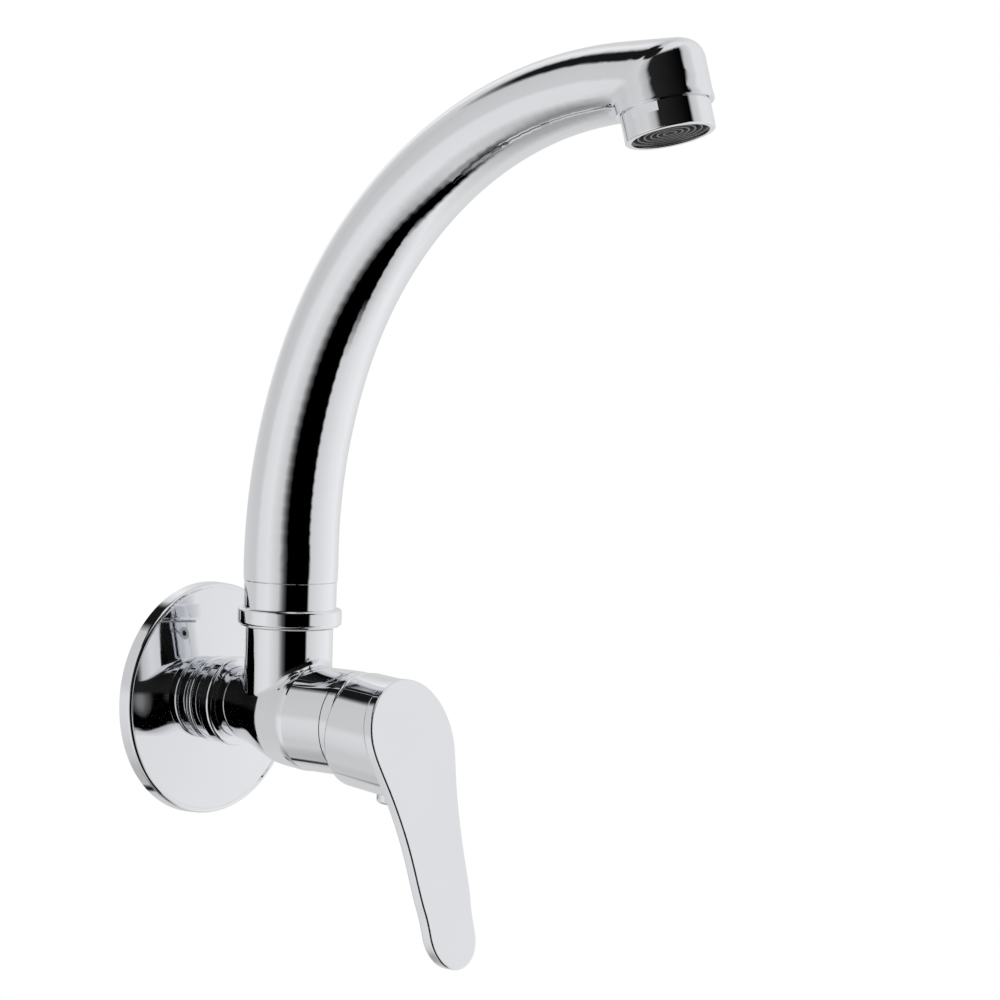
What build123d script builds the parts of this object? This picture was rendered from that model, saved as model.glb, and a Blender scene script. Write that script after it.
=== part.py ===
from build123d import *
from math import sin, cos, tan, radians, sqrt, pi
import os

os.makedirs("parts", exist_ok=True)

# Single-lever kitchen faucet that screws straight into a wall fitting.
# Millimetres. The origin is on the finished wall, on the inlet axis. +Z is up,
# the room is toward -Y and the wall toward +Y. "out" means distance from the wall.
# Plane.XZ.offset(out) is a plane parallel to the wall whose normal points to the room.

# ---------------------------------------------------------------- fits
run_gap = 0.05        # radial play of a turning or sliding fit
slip = 0.05           # play of a pushed-in part
thread_play = 0.01    # play drawn at a small screw thread
part_gap = 0.3        # daylight between parts that move past each other
seal_gap = 0.03       # play drawn at a rubber ring, which is pressed flat in use

# ---------------------------------------------------------------- inlet and wall plate
thread_r = 10.48      # half of the G 1/2 major diameter, 20.955 mm
tail_len = 14.0       # thread behind the wall
tail_bore_r = 6.5
thread_chamfer = 0.9
plate_r = 35.0        # wall plate: 70 mm
plate_draft = 0.2     # the rim is a little smaller at its front
plate_rim_out = 4.5
plate_edge_r = 1.2
plate_flat = 1.6      # flat front of the rim, outside the step
plate_step = 0.4
plate_hub_out = 5.8
plate_hub_r = 13.0
plate_skin = 1.0
gasket_w = 3.0
stem_r = 11.6         # plain part of the inlet that carries the plate
relief_r = 9.6        # groove where the wall thread ends
relief_len = 0.6
ring1_r = 12.9        # thin ring that holds the plate
ring1_len = 1.5
ring1_edge = 0.6
ring2_r = 13.4        # thick bead turned on the inlet
ring2_start = 11.0
ring2_len = 4.3
ring2_edge = 1.0
inlet_screw_r = 9.0   # front thread of the inlet, screwed into the casting
inlet_screw_len = 8.4
seal_ring_r = 10.4
strainer_r = 8.4
strainer_depth = 2.6
strainer_eye_r = 6.2
strainer_skin = 0.6

# ---------------------------------------------------------------- cast body
spout_out = 35.0      # distance from the wall to the spout axis
cart_drop = 2.0       # the cartridge axis sits this far below the inlet axis
upright_r = 13.0
barrel_r = 15.42      # horizontal barrel that holds the cartridge
barrel_front = 62.6
bell = [               # neck: run from the back of the casting, radius, drop of the centre
    (0.0, 10.6, 0.0),
    (4.0, 11.15, 0.1),
    (8.0, 11.8, 0.45),
    (12.5, 12.7, 1.05),
    (17.5, 14.1, 1.65),
    (22.5, 14.87, cart_drop),
    (27.0, 15.28, cart_drop),
    (32.0, barrel_r, cart_drop),
]
shoulder_z = 24.0     # step where the spout collar starts
post_r = 11.5         # thinner post inside the collar
post_top = 36.5
spout_bore_r = 9.95
spout_bore_z = 12.5
blend_r = 2.6
cup_r = 12.5          # bore for the cartridge
cup_floor = 33.0
mouth_r = 13.4        # wider thread at the mouth
mouth_start = 57.0
chamber_end = 24.0    # end of the screwed inlet chamber
in_port_r = 2.8
in_port_drop = 6.0
out_port_r = 2.6
out_port_rise = 4.0
riser_r = 2.9
riser_back = 5.5      # riser sits this far behind the spout axis

# ---------------------------------------------------------------- cartridge
base_len = 3.4
disc_r = 10.0
disc_len = 3.0
mover_r = 8.2
mover_len = 2.9
mover_pocket_z = 1.7   # the pocket starts just above the inlet port when closed
mover_pocket_run = 3.4
driver_len = 6.0
driver_w = 15.0
driver_h = 12.4
driver_edge = 2.0
pocket_h = 18.0
housing_r = 12.4
housing_in_r = 10.35
housing_front = 61.0
housing_lip = 1.6
housing_nose_r = 10.9
window_r = 7.65
carrier_front = 61.6
carrier_skirt = 4.0   # the skirt reaches back over the driver
pivot_out = 52.3      # tilt pin of the lever
pin_r = 1.5
ball_arm = 6.0        # ball to tilt pin
ball_r = 2.6
ball_neck_r = 1.6
shank_back = 2.2      # the full shank starts this far behind the pin
ball_play = 0.1
rod_r = 4.0
square = 7.9          # square end of the lever stem
square_edge = 0.5
square_start = 11.0   # measured from the pin along the stem
square_end = 29.4
rest_tilt = 5.4       # the closed lever dips by this angle
open_tilt = 20.0      # travel from closed to fully open
nut_r = 13.35
nut_in_r = 11.0
nut_head_r = 13.9
nut_front = 65.2
cap_r = 15.25
cap_front = 66.6
cap_eye_r = 10.3
cap_skin = 0.9
cap_edge = 0.8
port_seal_r = 4.1
port_seal_len = 1.2

# ---------------------------------------------------------------- handle
hub_r = 16.8          # at the rear edge
hub_front_r = 17.25
hub_edge = 0.6
hub_rim_r = 17.3
hub_mid_z = -4.6
hub_start = 14.0      # from the pin along the lever axis
hub_end = 42.0
hub_side = 20.0        # half width of the blanks that the handle is cut from
hub_bore_r = 15.6
hub_bore_end = 27.0
boss_r = 8.2
boss_start = 19.0
rib_w = 9.0
face_edge = 0.6
back_edge = 0.9
broad_area = 1500.0   # only the two big faces of the paddle are larger, in mm2
tip_r = 9.6
tip_z = -58.5
screw_at = 26.8       # grub screw, from the pin along the lever axis
grub_r = 2.5
grub_len = 5.0
plug_r = 4.0
plug_rise = 2.8
plug_seat = 16.45     # seat of the plug, from the lever axis
plug_shank_r = 3.2
plug_shank_len = 3.0
plug_edge = 1.3

# ---------------------------------------------------------------- spout
collar_r = 15.4
collar_top = 29.8
bead_edge = 0.8
lip_r = 14.5
lip_h = 0.35
seam_edge = 0.35
sleeve_r = 13.7
sleeve_top = 38.0
swivel_in_r = 11.9
sleeve_lip = 1.0
glide_len = 0.5
spigot_r = 9.9
spigot_bottom = 13.2
spigot_bore_r = 7.0
spigot_head_r = 11.6
spigot_head_top = 45.0
oring_r = 1.1         # half the cord thickness
oring_low_z = 16.6
oring_high_z = 31.5
groove_w = 2.4
groove_floor_r = 7.7
lock_z = 20.6         # groove and screw that keep the spout from lifting out
lock_groove_w = 3.0
lock_groove_r = 8.7
lock_screw_r = 2.0
lock_tip_r = 1.4
lock_tip_in = 9.0
foot_r = 13.85        # tube radius at the sleeve
tube_r = 13.97        # tube radius where the bend starts
tube_end_r = 10.87
tube_wall = 1.8
tube_steps = 24
tube_waist = 0.42     # the tube is this much flatter halfway, and no narrower
oval_steps = 10       # points along each half of the tube's oval outline
tube_run_out = 9.0    # the bore runs on past the end of the bends
squeeze_from = 0.72   # the bore narrows and rises over the rest of the tube
bore_end_r = 5.2
bore_rise = 3.6
bend_z = 45.0
bend1_r = 154.2       # the long bend, then the tighter one
bend1_deg = 22.35
bend2_r = 127.1
bend2_deg = 65.2
corner_back = 2.8     # corner under the tube, back from the end of the bends
notch_r = 0.6         # rounding in that corner
outlet_lean = 16.85   # outlet axis leans away from the wall
head_r = 13.55
head_start = 7.8      # all outlet lengths run up the outlet axis from its mouth
head_shape = 18       # a higher number makes the front of the head squarer
head_steps = 14
head_mouth_r = 12.0
head_mouth_end = 14.8
head_room_r = 10.4
head_room_end = 19.5
aer_r = 12.4
aer_len = 7.5
aer_thread_r = 11.95
aer_thread_end = 13.0
aer_in_r = 10.76
aer_rim_edge = 0.4
aer_shelf_r = 9.6
flat_half = 11.7
flat_low = 4.9
flat_turn = 9.0
insert_low = 0.9
insert_top = 6.4
insert_r = 10.7
web_len = 1.2
ring_count = 5
ring_w = 0.45
ring_step = 1.75
hole_circle_r = 6.6
hole_count = 6
mesh_len = 0.5
washer_in_r = 8.6

# ---------------------------------------------------------------- derived places
plate_front_r = plate_r - plate_draft
plate_step_r = plate_front_r - plate_flat
plate_hole_r = stem_r + part_gap
base_start = cup_floor + slip
base_end = base_start + base_len
disc_start = base_end
disc_end = disc_start + disc_len
mover_start = disc_end + run_gap
mover_end = mover_start + mover_len
driver_end = mover_end + driver_len
housing_back = base_end - 1.0
carrier_back = driver_end - carrier_skirt

first_turn = radians(bend1_deg)
last_turn = first_turn + radians(bend2_deg)
bends_out = bend1_r * (1 - cos(first_turn)) + bend2_r * (cos(first_turn) - cos(last_turn))
bends_up = bend1_r * sin(first_turn) + bend2_r * (sin(last_turn) - sin(first_turn))
bends_run = bend1_r * first_turn + bend2_r * (last_turn - first_turn)
lean = radians(outlet_lean)
head_turn = pi - last_turn - lean
tube_out = spout_out + bends_out + (tube_end_r + notch_r) * cos(last_turn)
tube_under = bend_z + bends_up - (tube_end_r + notch_r) * sin(last_turn)
corner_out = tube_out - corner_back * sin(last_turn)
corner_z = tube_under - corner_back * cos(last_turn)
outlet_out = corner_out + (head_r + notch_r) * cos(lean) + head_start * sin(lean)
outlet_z = corner_z + (head_r + notch_r) * sin(lean) - head_start * cos(lean)

wall_side = Plane.XZ
spout_axis = (0, -spout_out)


def lever_plane(along):
    """Plane across the lever axis, that far from the tilt pin, facing the room."""
    t = radians(rest_tilt)
    place = (0, -pivot_out - along * cos(t), -cart_drop - along * sin(t))
    return Plane(origin=place, x_dir=(1, 0, 0), z_dir=(0, -cos(t), -sin(t)))


def screw_plane(down):
    """Plane across the grub screw, that far below the lever axis, facing down."""
    t = radians(rest_tilt)
    y = -pivot_out - screw_at * cos(t) + down * sin(t)
    z = -cart_drop - screw_at * sin(t) - down * cos(t)
    return Plane(origin=(0, y, z), x_dir=(1, 0, 0), z_dir=(0, sin(t), -cos(t)))


def outlet_plane(up):
    """Plane across the outlet axis, that far up from its mouth, facing up."""
    place = (0, -outlet_out + up * sin(lean), outlet_z + up * cos(lean))
    return Plane(origin=place, x_dir=(1, 0, 0), z_dir=(0, sin(lean), cos(lean)))


def tube_station(part):
    """Plane and outer radius of the spout tube; part runs 0..1 along both bends."""
    run1 = bend1_r * first_turn
    run = part * bends_run
    if run <= run1:
        turn = run / bend1_r
        out = bend1_r * (1 - cos(turn))
        up = bend1_r * sin(turn)
    else:
        turn = first_turn + (run - run1) / bend2_r
        out = bend1_r * (1 - cos(first_turn)) + bend2_r * (cos(first_turn) - cos(turn))
        up = bend1_r * sin(first_turn) + bend2_r * (sin(turn) - sin(first_turn))
    r = tube_r + (tube_end_r - tube_r) * part
    place = (0, -spout_out - out, bend_z + up)
    plane = Plane(origin=place, x_dir=(1, 0, 0), z_dir=(0, -sin(turn), cos(turn)))
    return plane, r


def head_station(part):
    """Plane and half height of the outlet head; part runs 0..1 from tube to mouth.

    The sections fan out from the corner under the tube. Each one reaches up to the
    line of the tube's top or across to the line of the head's front."""
    turn = part * head_turn
    to_top = (notch_r + 2 * tube_end_r) / cos(turn)
    to_front = (notch_r + 2 * head_r) / cos(head_turn - turn)
    reach = (to_top**-head_shape + to_front**-head_shape) ** (-1 / head_shape)
    facing = last_turn + turn
    middle = (reach + notch_r) / 2
    place = (0, -corner_out + middle * cos(facing), corner_z + middle * sin(facing))
    plane = Plane(origin=place, x_dir=(1, 0, 0), z_dir=(0, -sin(facing), cos(facing)))
    return plane, (reach - notch_r) / 2


# ================================================================ fixed side
# Wall plate: a thin pressed dish with a square rim, a small step and a shallow cone.
with BuildPart() as escutcheon:
    with BuildSketch(Plane.YZ):
        with BuildLine():
            Polyline(
                (0, plate_r),
                (-plate_rim_out, plate_front_r),
                (-plate_rim_out, plate_step_r + plate_step),
                (-plate_rim_out + plate_step, plate_step_r),
                (-plate_hub_out, plate_hub_r),
                (-plate_hub_out, plate_hole_r),
                (-plate_hub_out + plate_skin, plate_hole_r),
                (-plate_hub_out + plate_skin, plate_hub_r),
                (-plate_rim_out + plate_step + plate_skin, plate_step_r - plate_skin),
                (-plate_rim_out + plate_step + plate_skin, plate_r - plate_skin),
                (0, plate_r - plate_skin),
                close=True,
            )
        make_face()
    revolve(axis=Axis.Y)
    rim = escutcheon.edges().filter_by(GeomType.CIRCLE).filter_by(
        lambda e: abs(e.radius - plate_front_r) < 0.01)
    fillet(rim, plate_edge_r)
escutcheon.part.label = "escutcheon"

# Foam ring that seals the plate to the wall.
with BuildPart() as escutcheon_gasket:
    with BuildSketch(wall_side):
        Circle(plate_r - plate_skin - slip)
        Circle(plate_r - plate_skin - gasket_w, mode=Mode.SUBTRACT)
    extrude(amount=plate_rim_out - plate_step - plate_skin)
escutcheon_gasket.part.label = "escutcheon_gasket"

# Thin ring screwed against the plate.
with BuildPart() as plate_ring:
    with BuildSketch(wall_side.offset(plate_hub_out)):
        Circle(ring1_r)
        Circle(stem_r, mode=Mode.SUBTRACT)
    extrude(amount=ring1_len)
    outer = plate_ring.edges().filter_by(GeomType.CIRCLE).filter_by(
        lambda e: abs(e.radius - ring1_r) < 0.01)
    fillet(outer, ring1_edge)
plate_ring.part.label = "plate_ring"

# Turned inlet: wall thread, plain neck, thick bead and the thread into the casting.
with BuildPart() as inlet_nipple:
    with BuildSketch(wall_side.offset(-tail_len)):
        Circle(thread_r)
    extrude(amount=tail_len)
    with BuildSketch(wall_side):
        Circle(relief_r)
    extrude(amount=relief_len)
    with BuildSketch(wall_side.offset(relief_len)):
        Circle(stem_r)
    extrude(amount=ring2_start - relief_len)
    with BuildSketch(wall_side.offset(ring2_start)):
        Circle(ring2_r)
    extrude(amount=ring2_len)
    bead = inlet_nipple.edges().filter_by(GeomType.CIRCLE).filter_by(
        lambda e: abs(e.radius - ring2_r) < 0.01)
    fillet(bead, ring2_edge)
    with BuildSketch(wall_side.offset(ring2_start + ring2_len)):
        Circle(inlet_screw_r)
    extrude(amount=inlet_screw_len)
    with BuildSketch(wall_side.offset(-tail_len)):
        Circle(tail_bore_r)
    extrude(amount=tail_len + ring2_start + ring2_len + inlet_screw_len, mode=Mode.SUBTRACT)
    with BuildSketch(wall_side.offset(-tail_len)):
        Circle(strainer_r + slip)
    extrude(amount=strainer_depth, mode=Mode.SUBTRACT)
    tail_rim = inlet_nipple.edges().filter_by(GeomType.CIRCLE).filter_by(
        lambda e: abs(e.radius - thread_r) < 0.01).sort_by(Axis.Y)
    chamfer(tail_rim[-1], thread_chamfer)
inlet_nipple.part.label = "inlet_nipple"

# Rubber-edged sieve in the end of the wall thread.
with BuildPart() as inlet_strainer:
    with BuildSketch(wall_side.offset(-tail_len)):
        Circle(strainer_r)
        Circle(strainer_eye_r, mode=Mode.SUBTRACT)
    extrude(amount=strainer_depth)
    with BuildSketch(wall_side.offset(-tail_len + strainer_depth / 2)):
        Circle(strainer_eye_r)
    extrude(amount=strainer_skin)
inlet_strainer.part.label = "inlet_strainer"

# Flat seal squeezed between the bead and the casting.
inlet_face = ring2_start + ring2_len
casting_back = inlet_face + part_gap
with BuildPart() as inlet_seal:
    with BuildSketch(wall_side.offset(inlet_face)):
        Circle(seal_ring_r)
        Circle(inlet_screw_r + slip, mode=Mode.SUBTRACT)
    extrude(amount=part_gap)
inlet_seal.part.label = "inlet_seal"

# Casting: a bell neck that grows into the cartridge barrel, and the upright for the spout.
with BuildPart() as body:
    for run, r, drop in bell:
        with BuildSketch(wall_side.offset(casting_back + run)):
            with Locations((0, -drop)):
                Circle(r)
    loft()
    bell_end = casting_back + bell[-1][0]
    with BuildSketch(wall_side.offset(bell_end)):
        with Locations((0, -cart_drop)):
            Circle(barrel_r)
    extrude(amount=barrel_front - bell_end)
    with BuildSketch(Plane.XY):
        with Locations(spout_axis):
            Circle(upright_r)
    extrude(amount=shoulder_z)
    crossing = body.edges().filter_by(
        lambda e: shoulder_z / 3 < e.center().Z < shoulder_z / 3 * 2
        and e.length > blend_r
        and e.geom_type != GeomType.CIRCLE)
    fillet(crossing, blend_r)
    with BuildSketch(Plane.XY.offset(shoulder_z)):
        with Locations(spout_axis):
            Circle(post_r)
    extrude(amount=post_top - shoulder_z)
    # bore for the swivel spigot
    with BuildSketch(Plane.XY.offset(spout_bore_z)):
        with Locations(spout_axis):
            Circle(spout_bore_r)
    extrude(amount=post_top - spout_bore_z, mode=Mode.SUBTRACT)
    # bore and threaded mouth for the cartridge
    with BuildSketch(wall_side.offset(cup_floor)):
        with Locations((0, -cart_drop)):
            Circle(cup_r)
    extrude(amount=barrel_front - cup_floor, mode=Mode.SUBTRACT)
    with BuildSketch(wall_side.offset(mouth_start)):
        with Locations((0, -cart_drop)):
            Circle(mouth_r)
    extrude(amount=barrel_front - mouth_start, mode=Mode.SUBTRACT)
    # screwed chamber for the inlet, then the two ports and the riser to the spout
    with BuildSketch(wall_side.offset(casting_back)):
        Circle(inlet_screw_r + slip)
    extrude(amount=chamber_end - casting_back, mode=Mode.SUBTRACT)
    with BuildSketch(wall_side.offset(chamber_end)):
        with Locations((0, -in_port_drop)):
            Circle(in_port_r)
    extrude(amount=cup_floor - chamber_end, mode=Mode.SUBTRACT)
    riser_out = spout_out - riser_back
    with BuildSketch(wall_side.offset(riser_out)):
        with Locations((0, out_port_rise)):
            Circle(out_port_r)
    extrude(amount=cup_floor - riser_out, mode=Mode.SUBTRACT)
    with BuildSketch(Plane.XY.offset(out_port_rise)):
        with Locations((0, -riser_out)):
            Circle(riser_r)
    extrude(amount=spout_bore_z - out_port_rise, mode=Mode.SUBTRACT)
    # tapped hole at the back of the upright for the lock screw
    with BuildSketch(wall_side.offset(spout_out - upright_r - 1)):
        with Locations((0, lock_z)):
            Circle(lock_screw_r)
    extrude(amount=upright_r - spout_bore_r + 2, mode=Mode.SUBTRACT)
body.part.label = "body"

# Screw that keeps the spout down; its pin runs in the groove of the spigot.
with BuildPart() as lock_screw:
    with BuildSketch(wall_side.offset(spout_out - upright_r + slip)):
        with Locations((0, lock_z)):
            Circle(lock_screw_r - thread_play)
            RegularPolygon(lock_screw_r / 2, 6, mode=Mode.SUBTRACT)
    extrude(amount=upright_r - spout_bore_r - part_gap)
    with BuildSketch(wall_side.offset(spout_out - spout_bore_r - part_gap - lock_screw_r / 2)):
        with Locations((0, lock_z)):
            Circle(lock_screw_r - thread_play)
    extrude(amount=lock_screw_r / 2 + slip)
    with BuildSketch(wall_side.offset(spout_out - spout_bore_r - part_gap + slip)):
        with Locations((0, lock_z)):
            Circle(lock_tip_r)
    extrude(amount=spout_bore_r + part_gap - slip - lock_tip_in)
lock_screw.part.label = "lock_screw"

# Plastic rings that carry the spout collar and steady its top.
with BuildPart() as lower_glide_ring:
    with BuildSketch(Plane.XY.offset(shoulder_z)):
        with Locations(spout_axis):
            Circle(upright_r - slip)
            Circle(post_r + slip, mode=Mode.SUBTRACT)
    extrude(amount=glide_len)
lower_glide_ring.part.label = "lower_glide_ring"

with BuildPart() as upper_glide_ring:
    with BuildSketch(Plane.XY.offset(post_top)):
        with Locations(spout_axis):
            Circle(post_r - slip)
            Circle(spigot_r + part_gap, mode=Mode.SUBTRACT)
    extrude(amount=glide_len)
upper_glide_ring.part.label = "upper_glide_ring"

# ================================================================ cartridge, fixed pieces
# Bottom of the cartridge with its two ports and seal pockets.
with BuildPart() as cartridge_base:
    with BuildSketch(wall_side.offset(base_start)):
        with Locations((0, -cart_drop)):
            Circle(housing_in_r)
    extrude(amount=base_len)
    with BuildSketch(wall_side.offset(base_start)):
        with Locations((0, -in_port_drop)):
            Circle(in_port_r)
        with Locations((0, out_port_rise)):
            Circle(out_port_r)
    extrude(amount=base_len, mode=Mode.SUBTRACT)
    with BuildSketch(wall_side.offset(base_start)):
        with Locations((0, -in_port_drop), (0, out_port_rise)):
            Circle(port_seal_r + slip)
    extrude(amount=port_seal_len, mode=Mode.SUBTRACT)
cartridge_base.part.label = "cartridge_base"

with BuildPart() as port_seals:
    with BuildSketch(wall_side.offset(base_start)):
        with Locations((0, -in_port_drop), (0, out_port_rise)):
            Circle(port_seal_r)
            Circle(in_port_r, mode=Mode.SUBTRACT)
    extrude(amount=port_seal_len - slip)
port_seals.part.label = "port_seals"

# Ceramic disc that stays still.
with BuildPart() as fixed_disc:
    with BuildSketch(wall_side.offset(disc_start)):
        with Locations((0, -cart_drop)):
            Circle(disc_r)
        with Locations((0, -in_port_drop)):
            Circle(in_port_r, mode=Mode.SUBTRACT)
        with Locations((0, out_port_rise)):
            Circle(out_port_r, mode=Mode.SUBTRACT)
    extrude(amount=disc_len)
fixed_disc.part.label = "fixed_disc"

# Cartridge housing: a cup that opens toward the wall, with a window for the lever nose.
with BuildPart() as cartridge_housing:
    with BuildSketch(wall_side.offset(housing_back)):
        with Locations((0, -cart_drop)):
            Circle(housing_r)
    extrude(amount=mouth_start - housing_back)
    with BuildSketch(wall_side.offset(mouth_start)):
        with Locations((0, -cart_drop)):
            Circle(housing_nose_r)
    extrude(amount=housing_front - mouth_start)
    with BuildSketch(wall_side.offset(housing_back)):
        with Locations((0, -cart_drop)):
            Circle(housing_in_r + slip)
    extrude(amount=mouth_start - housing_lip - housing_back, mode=Mode.SUBTRACT)
    with BuildSketch(wall_side.offset(mouth_start - housing_lip)):
        with Locations((0, -cart_drop)):
            Circle(window_r)
    extrude(amount=housing_front - mouth_start + housing_lip, mode=Mode.SUBTRACT)
cartridge_housing.part.label = "cartridge_housing"

# Ring nut that clamps the cartridge; the head stands in front of the casting.
with BuildPart() as cartridge_nut:
    with BuildSketch(wall_side.offset(mouth_start)):
        with Locations((0, -cart_drop)):
            Circle(nut_r)
    extrude(amount=barrel_front + slip - mouth_start)
    with BuildSketch(wall_side.offset(barrel_front + slip)):
        with Locations((0, -cart_drop)):
            Circle(nut_head_r)
    extrude(amount=nut_front - barrel_front - slip)
    with BuildSketch(wall_side.offset(mouth_start)):
        with Locations((0, -cart_drop)):
            Circle(nut_in_r)
    extrude(amount=nut_front - mouth_start, mode=Mode.SUBTRACT)
cartridge_nut.part.label = "cartridge_nut"

# Bright cap pushed over the nut; it shows behind the handle.
with BuildPart() as cartridge_cap:
    with BuildSketch(wall_side.offset(barrel_front + slip * 2)):
        with Locations((0, -cart_drop)):
            Circle(cap_r)
    extrude(amount=cap_front - barrel_front - slip * 2)
    front_rim = cartridge_cap.edges().filter_by(GeomType.CIRCLE).sort_by(Axis.Y)[0]
    fillet(front_rim, cap_edge)
    with BuildSketch(wall_side.offset(barrel_front)):
        with Locations((0, -cart_drop)):
            Circle(nut_head_r + slip)
    extrude(amount=cap_front - cap_skin - barrel_front, mode=Mode.SUBTRACT)
    with BuildSketch(wall_side.offset(cap_front - cap_skin)):
        with Locations((0, -cart_drop)):
            Circle(cap_eye_r)
    extrude(amount=cap_skin, mode=Mode.SUBTRACT)
cartridge_cap.part.label = "cartridge_cap"

# ================================================================ cartridge, moving pieces
# Ceramic disc that the lever slides over the ports; its pocket joins them when open.
with BuildPart() as moving_disc:
    with BuildSketch(wall_side.offset(mover_start)):
        with Locations((0, -cart_drop)):
            Circle(mover_r)
    extrude(amount=mover_len)
    with BuildSketch(wall_side.offset(mover_start)):
        with Locations((0, mover_pocket_z)):
            SlotCenterToCenter(mover_pocket_run, out_port_r * 2, rotation=90)
    extrude(amount=mover_len / 2, mode=Mode.SUBTRACT)
moving_disc.part.label = "moving_disc"

# Block that pushes the disc, with a socket for the ball of the lever stem.
ball_z = -cart_drop + ball_arm * sin(radians(rest_tilt))
with BuildPart() as disc_driver:
    with BuildSketch(wall_side.offset(mover_end)):
        with Locations((0, ball_z)):
            RectangleRounded(driver_w, driver_h, driver_edge)
    extrude(amount=driver_len)
    with BuildSketch(wall_side.offset(mover_end + slip)):
        with Locations((0, ball_z)):
            Circle(ball_r + ball_play)
    extrude(amount=driver_len, mode=Mode.SUBTRACT)
disc_driver.part.label = "disc_driver"

# Turning carrier: skirt, cross pin holes and a nose that turns in the housing window.
nose_start = mouth_start - housing_lip - run_gap
lifted = radians(open_tilt - rest_tilt)
swing_out = carrier_front - pivot_out
slot_high = swing_out * tan(lifted) + rod_r / cos(lifted) + part_gap
slot_low = swing_out * tan(radians(rest_tilt)) + rod_r / cos(radians(rest_tilt)) + part_gap
with BuildPart() as lever_carrier:
    with BuildSketch(wall_side.offset(carrier_back)):
        with Locations((0, -cart_drop)):
            Circle(housing_in_r - run_gap)
    extrude(amount=nose_start - carrier_back)
    with BuildSketch(wall_side.offset(nose_start)):
        with Locations((0, -cart_drop)):
            Circle(window_r - run_gap)
    extrude(amount=carrier_front - nose_start)
    with BuildSketch(wall_side.offset(carrier_back)):
        with Locations((0, -cart_drop)):
            Rectangle(driver_w + 2 * part_gap, pocket_h)
    extrude(amount=driver_end + part_gap - carrier_back, mode=Mode.SUBTRACT)
    with BuildSketch(wall_side.offset(driver_end)):
        with Locations((0, -cart_drop + (slot_high - slot_low) / 2)):
            Rectangle(2 * (rod_r + part_gap), slot_high + slot_low)
    extrude(amount=carrier_front - driver_end, mode=Mode.SUBTRACT)
    with BuildSketch(Plane.YZ.offset(-housing_in_r)):
        with Locations((-pivot_out, -cart_drop)):
            Circle(pin_r + slip)
    extrude(amount=2 * housing_in_r, mode=Mode.SUBTRACT)
lever_carrier.part.label = "lever_carrier"

pin_half = housing_in_r - 1.0
with BuildPart() as tilt_pin:
    with BuildSketch(Plane.YZ.offset(-pin_half)):
        with Locations((-pivot_out, -cart_drop)):
            Circle(pin_r)
    extrude(amount=2 * pin_half)
tilt_pin.part.label = "tilt_pin"

# Lever stem: ball, round shank with the pin hole, and the square end for the handle.
with BuildPart() as lever_stem:
    with BuildSketch(lever_plane(-ball_arm)):
        Circle(ball_neck_r)
    extrude(amount=ball_arm)
    with BuildSketch(lever_plane(-shank_back)):
        Circle(rod_r)
    extrude(amount=square_start + shank_back)
    with BuildSketch(lever_plane(square_start)):
        RectangleRounded(square, square, square_edge)
    extrude(amount=square_end - square_start)
    with Locations(lever_plane(-ball_arm)):
        Sphere(ball_r)
    with BuildSketch(Plane.YZ.offset(-rod_r)):
        with Locations((-pivot_out, -cart_drop)):
            Circle(pin_r + run_gap)
    extrude(amount=2 * rod_r, mode=Mode.SUBTRACT)
lever_stem.part.label = "lever_stem"

# ================================================================ handle
# Handle: a round hub over the cartridge nose and a long waisted paddle, both cut by
# one gently bent face. The lines below are (y, z) in the middle plane and (half
# width, z) seen from the front.
face_line = [
    (-80.9, 17.5),
    (-84.3, 1.0),
    (-93.2, -26.0),
    (-103.7, -60.0),
    (-106.6, -70.0),
]
back_line = [
    (-77.2, 17.5),
    (-80.7, 1.0),
    (-89.7, -26.0),
    (-99.8, -60.0),
    (-102.4, -70.0),
]
outline = [
    (hub_rim_r, hub_mid_z),
    (16.3, -11.0),
    (14.5, -17.5),
    (12.5, -27.0),
    (11.2, -38.0),
    (10.4, -49.0),
    (tip_r, tip_z),
]
down = (0, -1)
far_out = -130.0
with BuildSketch(Plane.YZ.offset(-hub_side)) as paddle_side:
    with BuildLine():
        front = Spline(*face_line)
        back = Spline(*back_line)
        Line(front @ 0, back @ 0)
        Line(front @ 1, back @ 1)
    make_face()
with BuildSketch(wall_side) as paddle_front:
    with BuildLine():
        right = Spline(*outline, tangents=[down, down])
        mirror(right, about=Plane.YZ)
        ThreePointArc((tip_r, tip_z), (0, tip_z - tip_r), (-tip_r, tip_z))
        ThreePointArc((hub_rim_r, hub_mid_z), (0, hub_mid_z + hub_rim_r), (-hub_rim_r, hub_mid_z))
    make_face()
with BuildPart() as paddle:
    extrude(paddle_side.sketch, amount=2 * hub_side)
    extrude(paddle_front.sketch, amount=-far_out, mode=Mode.INTERSECT)
    face = paddle.faces().filter_by(lambda f: f.area > broad_area and f.normal_at().Y < -0.5)[0]
    fillet(face.edges(), face_edge)
    rear = paddle.faces().filter_by(lambda f: f.area > broad_area and f.normal_at().Y > 0.5)[0]
    fillet(rear.edges(), back_edge)
with BuildSketch(Plane.YZ.offset(-hub_side)) as face_side:
    with BuildLine():
        inner = Spline(*[(y + face_edge + slip, z) for y, z in face_line])
        Polyline(inner @ 0, (far_out, face_line[0][1]), (far_out, face_line[-1][1]), inner @ 1)
    make_face()
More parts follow.
